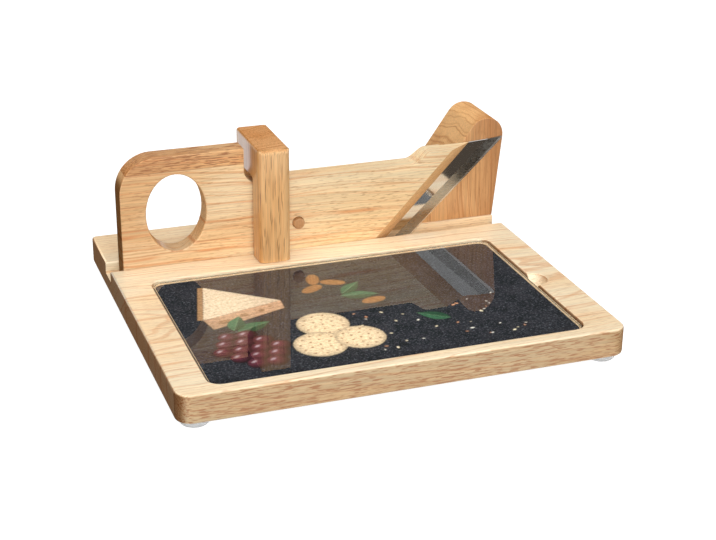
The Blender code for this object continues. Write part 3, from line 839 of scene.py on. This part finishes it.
for node in (name for name in frame["nodes"] if name.startswith("foot_")):
    low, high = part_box(node)
    radius = (high.x - low.x) / 2
    height = high.z - low.z
    face = BUMPER_FACE / 2
    side = [
        (face + (radius - face) * math.cos(t), height - height * math.sin(t))
        for t in quarter_turn(12)
    ]
    foot_centre = ((low.x + high.x) / 2, (low.y + high.y) / 2, low.z)
    dome = [(0, height)] + side + [(0, 0)]
    show(spun(dome, foot_centre, (0, 0, 1)), "clear_" + node, bumper_clear, node)

# %% [markdown]
# ## The glass plate
#
# A flat plate with round corners and finely ground edges. It could be drawn as an outline and
# thickened. A box is simpler: its four upright edges are rounded first, and then its two rims.


# %% Glass plate
def rounded_slab(low, high, corner, rim):
    """A box with round corners in plan and a rounded rim above and below."""
    bm = bmesh.new()
    bmesh.ops.create_cube(bm, size=1)
    bmesh.ops.scale(bm, vec=high - low, verts=bm.verts)
    bmesh.ops.translate(bm, vec=(low + high) / 2, verts=bm.verts)
    upright = [e for e in bm.edges if abs(e.verts[0].co.z - e.verts[1].co.z) > rim]
    rounded(bm, upright, corner, 10)
    level_edges = [e for e in bm.edges if abs(e.verts[0].co.z - e.verts[1].co.z) < rim]
    rounded(bm, level_edges, rim, 3)
    return bm


GLASS_CORNER = 7.4 * MM
GLASS_RIM = 0.5 * MM
glass_low, glass_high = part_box("glass_plate")
glass_mesh = rounded_slab(glass_low, glass_high, GLASS_CORNER, GLASS_RIM)
glass_piece = show(glass_mesh, "serving_glass", clear_glass, "glass_plate")
keep_flats_flat(glass_piece)

# %% [markdown]
# ## The print
#
# Under the glass lies a printed sheet that shows dark slate with food laid out on it. A picture
# file would be the usual way. Here it is painted by formula on the vertices of a fine grid, so the
# script needs no file: a motif is a distance to an outline and a colour that changes across it.


# %% Outlines as distances, in millimetres
def turned_to(points, centre, angle):
    """Points seen from a motif's own centre and direction."""
    shifted = points - np.array(centre)
    cosine, sine = math.cos(angle), math.sin(angle)
    forward = shifted[:, 0] * cosine + shifted[:, 1] * sine
    return np.stack((forward, shifted[:, 1] * cosine - shifted[:, 0] * sine), 1)


def oval(points, centre, radii, angle=0.0):
    """Distance outside an oval, and the points in units of its radii."""
    inner = turned_to(points, centre, angle) / np.array(radii)
    return (np.hypot(inner[:, 0], inner[:, 1]) - 1) * min(radii), inner


def straight_sided(points, corners):
    """Distance outside a shape with straight sides, its corners listed anticlockwise."""
    farthest = np.full(len(points), -1e3)
    for start, end in zip(corners, corners[1:] + corners[:1]):
        run = np.array(end) - np.array(start)
        outward = np.array((run[1], -run[0])) / np.hypot(*run)
        farthest = np.maximum(farthest, (points - np.array(start)) @ outward)
    return farthest


def lay(picture, distance, colour, soft=0.7):
    """Lay a colour over the picture where the distance is negative."""
    cover = np.clip(0.5 - distance / soft, 0, 1)[:, None]
    flat = np.broadcast_to(colour, (len(distance), 3))
    picture += (np.concatenate((flat, np.ones_like(cover)), 1) - picture) * cover


def shaded(colour, light):
    """One colour made lighter and darker by a value for each point."""
    return np.array(colour)[None, :] * light[:, None]


from_spot = oval(np.array([[5.0, 0.0]]), centre=(0, 0), radii=(2, 2))[0]
print("a point 5 mm from the middle of a spot of radius 2 mm is outside by:", from_spot)

# %% [markdown]
# ## The food on the print
#
# Each motif is a few of those outlines laid over one another: a rim and holes make a cracker, a top
# and a cut side make a wedge, and a soft light makes a grape round. They are plain shapes of the
# kind that such boards carry, in the colours of baked, ripe and green things.


# %% Food motifs
def cracker(picture, points, centre, radius):
    """A round baked cracker with pricked holes and a browner rim."""
    distance, inner = oval(points, centre, (radius, radius))
    away = np.hypot(inner[:, 0], inner[:, 1])
    wave = 0.04 * np.sin(9 * inner[:, 0] + 4 * inner[:, 1]) + 0.03 * np.sin(23 * inner[:, 1])
    lay(picture, distance + 0.4, shaded((0.66, 0.50, 0.32), 1.05 + wave - 0.6 * away**6))
    for ring, count in ((0.0, 1), (0.38, 6), (0.72, 11)):
        for step in range(count):
            turn = 2 * math.pi * step / count + ring
            reach = radius * ring
            hole = (centre[0] + reach * math.cos(turn), centre[1] + reach * math.sin(turn))
            lay(picture, oval(points, hole, (0.75, 0.75))[0], (0.26, 0.13, 0.05))


def cheese_wedge(picture, points):
    """A wedge of pale cheese: a top, a cut side with holes, and a rind."""
    tip, back, far = (66.0, 32.0), (12.0, 18.0), (24.0, 66.0)
    drop = 15.0
    side = [(back[0] + 3, back[1] - drop), (tip[0] - 1, tip[1] - drop * 0.8), tip, back]
    layers = 0.10 * np.sin(points[:, 1] * 1.3 + 0.8 * np.sin(points[:, 0] * 0.35))
    side_light = 0.8 + points[:, 1] / 90 + layers
    lay(picture, straight_sided(points, side), shaded((0.42, 0.25, 0.15), side_light))
    top_light = 1.1 - points[:, 0] / 300 + 0.5 * layers
    lay(picture, straight_sided(points, [back, tip, far]), shaded((0.60, 0.47, 0.33), top_light))
    rind = [(back[0] - 3.5, back[1] + 1), back, far, (far[0] - 3.5, far[1] + 0.5)]
    lay(picture, straight_sided(points, rind), (0.34, 0.19, 0.09))
    for x, y, wide, high in (
        (24, 12, 4.2, 2.6),
        (38, 18, 3.0, 2.2),
        (50, 21, 2.2, 1.6),
        (31, 7.5, 2.0, 1.3),
        (57, 25.5, 1.4, 1.0),
    ):
        distance, inner = oval(points, (x, y), (wide, high), 0.25)
        lay(picture, distance, shaded((0.26, 0.14, 0.07), 1.0 + 0.25 * inner[:, 1]))


def grape(picture, points, centre, radius):
    """A dark grape with a soft light on its upper left."""
    distance, inner = oval(points, centre, (radius, radius))
    round_light = np.clip(1.25 - np.hypot(inner[:, 0] + 0.25, inner[:, 1] - 0.3), 0.12, 2)
    lay(picture, distance, shaded((0.11, 0.022, 0.036), round_light))
    spark = (centre[0] - radius * 0.32, centre[1] + radius * 0.38)
    lay(picture, oval(points, spark, (1.5, 0.8), 0.6)[0], (0.42, 0.34, 0.35), soft=1.4)


def almond(picture, points, centre, angle):
    """A brown almond with lengthwise wrinkles."""
    distance, inner = oval(points, centre, (8.5, 4.6), angle)
    lines = 0.9 + 0.14 * np.sin(15 * inner[:, 1]) - 0.35 * inner[:, 1] ** 2
    lay(picture, distance, shaded((0.34, 0.15, 0.05), lines))


def leaf(picture, points, stem, length, width, angle):
    """A pointed green leaf that grows from a stem, with a pale vein."""
    local = turned_to(points, stem, angle)
    share = np.clip(local[:, 0] / length, 0, 1)
    half = width * np.sin(math.pi * share**0.8)
    beyond = np.maximum(-local[:, 0], local[:, 0] - length)
    distance = np.maximum(np.abs(local[:, 1]) - half, beyond)
    leaf_light = 0.8 + 0.9 * (local[:, 1] > 0) + 0.3 * share
    lay(picture, distance, shaded((0.020, 0.062, 0.030), leaf_light))
    vein = np.maximum(np.abs(local[:, 1]) - 0.22, beyond)
    lay(picture, vein, (0.13, 0.22, 0.12))


print("food motifs:", [motif.__name__ for motif in (cracker, cheese_wedge, grape, almond, leaf)])

# %% [markdown]
# ## Laying the picture out
#
# The food lies on the left and in the middle, seeds lie at the front right, and the rest of the
# slate stays bare. What is laid last lies on top, as on a real table. The seeds are scattered by a
# random generator with a fixed start, so they fall in the same places each time.

# %% Paint the picture
SEED_COUNT = 40
SEED_TONES = ((0.80, 0.68, 0.46), (0.62, 0.30, 0.16), (0.86, 0.80, 0.70))
SEED_AREA = ((100, 14), (205, 74))
WEDGE_PLACE = (6, 70)
LEAVES = (
    ((34, 66), 24, 6.0, 0.35),
    ((32, 68), 21, 5.5, 1.15),
    ((110, 96), 25, 6.0, -0.15),
    ((112, 99), 22, 5.0, 0.75),
    ((164, 44), 22, 5.5, 2.5),
)
GRAPE_ROWS = (2, 3, 4, 3, 2)
GRAPE_RADIUS = 6.6
CRACKERS = (((86, 60), 17), ((76, 34), 17), ((102, 36), 16))
ALMONDS = (((96, 112), 0.5), ((112, 118), -0.4), ((101, 126), 1.3), ((128, 84), 0.2))


def paint(points):
    """The picture on the slate: red, green, blue, and how much of it covers the slate."""
    picture = np.zeros((len(points), 4))
    chance = np.random.default_rng(11)
    for _ in range(SEED_COUNT):
        centre = chance.uniform(*SEED_AREA)
        size = chance.uniform(0.5, 1.1)
        tone = SEED_TONES[chance.integers(3)]
        angle = chance.uniform(0, math.pi)
        lay(picture, oval(points, centre, (size * 1.5, size), angle)[0], tone)
    cheese_wedge(picture, points - np.array(WEDGE_PLACE))
    for stem, length, width, angle in LEAVES:
        leaf(picture, points, stem, length, width, angle)
    for row, count in enumerate(GRAPE_ROWS):
        for step in range(count):
            centre = (32 + 11.5 * (step + 0.5 - count / 2) + 2 * row, 60 - 9.5 * row)
            grape(picture, points, centre, GRAPE_RADIUS)
    for centre, radius in CRACKERS:
        cracker(picture, points, centre, radius)
    for centre, angle in ALMONDS:
        almond(picture, points, centre, angle)
    return picture


print("grapes in the bunch:", sum(GRAPE_ROWS))

# %% [markdown]
# ## The printed sheet
#
# The sheet is a fine grid, because its vertices carry the colours. Its corners are drawn in to a
# rounding by moving the vertices there, which keeps the grid whole. Then its rim is extruded down
# and filled below, so it is a closed sheet with a real thickness.

# %% Sheet
GRID_STEP = 0.8 * MM
FILM_CORNER = 7.0 * MM

film_low, film_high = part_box("print_film")
size = film_high - film_low
columns, rows = round(size.x / GRID_STEP), round(size.y / GRID_STEP)
film_mesh = bmesh.new()
bmesh.ops.create_grid(film_mesh, x_segments=columns, y_segments=rows, size=0.5)
bmesh.ops.scale(film_mesh, vec=(size.x, size.y, 1), verts=film_mesh.verts)
inner_x, inner_y = size.x / 2 - FILM_CORNER, size.y / 2 - FILM_CORNER
for vert in film_mesh.verts:
    out_x, out_y = abs(vert.co.x) - inner_x, abs(vert.co.y) - inner_y
    if out_x > 0 and out_y > 0:
        pull = max(out_x, out_y) / math.hypot(out_x, out_y)
        vert.co.x = math.copysign(inner_x + out_x * pull, vert.co.x)
        vert.co.y = math.copysign(inner_y + out_y * pull, vert.co.y)
film_top = glass_low.z + 0.02 * MM
centre = (film_low + film_high) / 2
bmesh.ops.translate(film_mesh, vec=(centre.x, centre.y, film_top), verts=film_mesh.verts)
rim = [edge for edge in film_mesh.edges if edge.is_boundary]
walls = bmesh.ops.extrude_edge_only(film_mesh, edges=rim)["geom"]
lower = [item for item in walls if isinstance(item, bmesh.types.BMVert)]
bmesh.ops.translate(film_mesh, vec=(0, 0, film_low.z - film_top), verts=lower)
bmesh.ops.edgeloop_fill(film_mesh, edges=[e for e in film_mesh.edges if e.is_boundary])
bmesh.ops.recalc_face_normals(film_mesh, faces=film_mesh.faces)

slate_print, tree, shader = new_finish("slate_print")
film_piece = show(film_mesh, "slate_print_sheet", slate_print, "print_film")

# %% [markdown]
# ## Colours on the sheet
#
# Two attributes go on the vertices. One is the painted picture, with how much of it covers the
# slate. The other is the distance from the sheet's edge, along which a cream band about a millimetre
# wide is drawn.

# %% Attributes
spots = np.empty(3 * len(film_piece.data.vertices))
film_piece.data.vertices.foreach_get("co", spots)
spots = (spots.reshape(-1, 3)[:, :2] - np.array((film_low.x, film_low.y))) / MM
ink = film_piece.data.attributes.new("ink", "FLOAT_COLOR", "POINT")
ink.data.foreach_set("color", paint(spots).ravel())
from_middle = np.abs(spots - np.array((size.x, size.y)) / MM / 2)
past_inner = np.maximum(from_middle - np.array((inner_x, inner_y)) / MM, 0)
inset = film_piece.data.attributes.new("inset", "FLOAT", "POINT")
edge_distance = FILM_CORNER - np.hypot(past_inner[:, 0], past_inner[:, 1]) * MM
inset.data.foreach_set("value", edge_distance)
print("painted points:", len(spots))

# %% [markdown]
# ## Slate and ink
#
# Slate is near black, cloudy, and full of small pale grit. Its grain is finer than the grid, so it
# is a shader and not painted. The motifs get flecks from the same kind of noise, which hides that
# they are smooth shapes.

# %% Slate finish
CREAM_BAND = 1.1 * MM
RIM_BLUR = 0.15 * MM

where = object_place(tree)
painted = add(tree, "Attribute", attribute_name="ink")
inset = add(tree, "Attribute", attribute_name="inset").outputs["Fac"]
cloud = noise(tree, where, scale=90.0, detail=4, roughness=0.65)
grit = noise(tree, where, scale=760.0, detail=3, roughness=0.8)
slate = mixed(tree, ramp(tree, cloud, 0.35, 0.65), (0.004, 0.005, 0.007), (0.015, 0.015, 0.019))
slate = mixed(tree, ramp(tree, grit, 0.48, 0.70, 0.0, 0.9), slate, (0.090, 0.095, 0.110))
flecks = noise(tree, where, scale=520.0, detail=3, roughness=0.6)
mottle = grey(tree, ramp(tree, flecks, 0.25, 0.75, 0.70, 1.22))
motif = mixed(tree, 1.0, painted.outputs["Color"], mottle, "MULTIPLY")
printed = mixed(tree, painted.outputs["Alpha"], slate, motif)
# A cream band 1.1 mm wide is drawn along the sheet's edge.
cream_band = ramp(tree, inset, CREAM_BAND - RIM_BLUR, CREAM_BAND + RIM_BLUR, 1.0, 0.0)
tree.links.new(mixed(tree, cream_band, printed, (0.42, 0.30, 0.18)), shader.inputs["Base Color"])
tree.links.new(ramp(tree, grit, 0.3, 0.7, 0.5, 0.7), shader.inputs["Roughness"])
shader.inputs["Specular IOR Level"].default_value = 0.2
print("slate_print nodes:", len(tree.nodes))

# %% [markdown]
# ## The floor
#
# A pale floor that stays white to the eye. A white floor would throw so much light up that every
# underside glowed, so it is a middle grey for the light that bounces, and shows as a white card,
# with the board's shadow on it, to the camera, to mirrors and through glass.


# %% Floor
def stage_object(bm, name, material):
    """Make a bmesh a part of the studio."""
    mesh = bpy.data.meshes.new(name)
    bm.to_mesh(mesh)
    bm.free()
    mesh.materials.append(material)
    made = bpy.data.objects.new(name, mesh)
    bpy.context.scene.collection.objects.link(made)
    print(name, "size:", [round(value, 2) for value in made.dimensions])
    return made


def matt(name, colour):
    """A plain matt finish for the floor or a card."""
    material, _, shader = new_finish(name)
    shader.inputs["Base Color"].default_value = (*colour, 1.0)
    shader.inputs["Roughness"].default_value = 1.0
    shader.inputs["Specular IOR Level"].default_value = 0.0
    return material


def seen_directly(tree):
    """One for rays from the camera, from mirrors and through glass, or else nought."""
    rays = add(tree, "LightPath").outputs
    sharp = math_of(tree, "MAXIMUM", rays["Is Glossy Ray"], rays["Is Transmission Ray"])
    return math_of(tree, "MAXIMUM", rays["Is Camera Ray"], sharp)


FLOOR_GREY = (0.30, 0.30, 0.30)
FLOOR_GLOW = 0.92
FLOOR_HALF = 12
FLOOR_DROP = 0.2 * MM

floor_finish = matt("floor_finish", FLOOR_GREY)
tree = floor_finish.node_tree
pale = add(tree, "BsdfDiffuse", {"Color": (*FLOOR_GREY, 1.0)})
glow = add(tree, "Emission", {"Color": (1.0, 1.0, 1.0, 1.0), "Strength": FLOOR_GLOW})
white = add(tree, "AddShader", {0: pale.outputs[0], 1: glow.outputs[0]})
plain = tree.nodes["Principled BSDF"].outputs[0]
floor_mix = add(tree, "MixShader", {0: seen_directly(tree), 1: plain, 2: white.outputs[0]})
tree.links.new(floor_mix.outputs[0], surface_of(tree))

floor_mesh = bmesh.new()
bmesh.ops.create_grid(floor_mesh, x_segments=1, y_segments=1, size=FLOOR_HALF)
bmesh.ops.translate(floor_mesh, vec=(0, 0, -FLOOR_DROP), verts=floor_mesh.verts)
stage_object(floor_mesh, "floor", floor_finish)

# %% [markdown]
# ## Cards for the reflections
#
# Glass and polished steel show what surrounds them, and in a white studio both would vanish. Two
# dark cards that only reflections can see stand where a studio has its dark sides. Half a ring, far
# away behind the board, keeps the glass dark, and fades to white at its two ends so that it leaves
# no hard line in the glass. A brown sheet on the floor beside the board is what the blade looks at.


# %% Dark ring and dark sheet
def only_for_reflections(card):
    """Hide a card from everything but mirror-like surfaces."""
    card.visible_camera = False
    card.visible_diffuse = False
    card.visible_transmission = False
    card.visible_shadow = False


RING_RADIUS = 3.2
RING_HEIGHT = 2.3
RING_MIDDLE = 1.45
RING_FADE = 1.7
RING_DARK = 0.02
SHEET_SIZE = (0.16, 0.30)
SHEET_PLACE = (0.222, -0.06, 0.5 * MM)

ring_mesh = bmesh.new()
bmesh.ops.create_cone(
    ring_mesh,
    cap_ends=False,
    segments=64,
    radius1=RING_RADIUS,
    radius2=RING_RADIUS,
    depth=RING_HEIGHT,
)
bmesh.ops.translate(ring_mesh, vec=(0, 0, RING_MIDDLE), verts=ring_mesh.verts)
bmesh.ops.bisect_plane(
    ring_mesh,
    geom=ring_mesh.verts[:] + ring_mesh.edges[:] + ring_mesh.faces[:],
    plane_co=(0, 0, 0),
    plane_no=(0, 1, 0),
    clear_inner=True,
)
ring_fade, tree, _ = new_finish("ring_fade")
ring_place = add(tree, "SeparateXYZ", {0: object_place(tree)}).outputs
ring_glow = ramp(tree, ring_place["Y"], 0.0, RING_FADE, 1.0, RING_DARK)
ring_light = add(tree, "Emission", {"Strength": ring_glow})
tree.links.new(ring_light.outputs[0], surface_of(tree))
ring_fade.cycles.emission_sampling = "NONE"
only_for_reflections(stage_object(ring_mesh, "dark_ring", ring_fade))

sheet_mesh = bmesh.new()
bmesh.ops.create_grid(sheet_mesh, x_segments=1, y_segments=1, size=0.5)
bmesh.ops.scale(sheet_mesh, vec=(*SHEET_SIZE, 1), verts=sheet_mesh.verts)
bmesh.ops.translate(sheet_mesh, vec=SHEET_PLACE, verts=sheet_mesh.verts)
sheet_brown = matt("sheet_brown", (0.075, 0.06, 0.048))
only_for_reflections(stage_object(sheet_mesh, "dark_sheet", sheet_brown))

# %% [markdown]
# ## The surroundings and the lamps
#
# The world is white behind everything but lights it only gently, because an even light from all
# sides flattens a shape. Two large soft lamps do the work: one overhead, which lights the tops, and
# one in front, a little to the left, which lights the faces that the camera sees. The board's ends
# get little from either, so they stay dark, and their colour is drawn darker as well: painted shade.

# %% World
WORLD_FILL = 0.22

world = bpy.data.worlds.new("studio")
bpy.context.scene.world = world
world.use_nodes = True
tree = world.node_tree
background = tree.nodes["Background"]
strength = ramp(tree, seen_directly(tree), 0.0, 1.0, WORLD_FILL, 1.0)
tree.links.new(strength, background.inputs["Strength"])
background.inputs["Color"].default_value = (1.0, 1.0, 1.0, 1.0)
print("world fill:", WORLD_FILL)


# %% Lamps
def soft_lamp(name, direction, distance, size, level):
    """A square lamp. At level 1 alone, a white card that faces it renders white."""
    lamp = bpy.data.lights.new(name, "AREA")
    lamp.size = size
    lamp.energy = level * math.pi**2 * distance**2
    made = bpy.data.objects.new(name, lamp)
    direction = Vector(direction).normalized()
    made.location = direction * distance
    made.rotation_euler = direction.to_track_quat("Z", "Y").to_euler()
    made.visible_glossy = False
    bpy.context.scene.collection.objects.link(made)
    print(name, "power:", round(lamp.energy, 1), "W")


soft_lamp("overhead_lamp", (0.0, -0.06, 1.0), distance=2.6, size=1.9, level=0.76)
soft_lamp("front_lamp", (-0.17, -0.92, 0.36), distance=3.4, size=1.9, level=0.74)
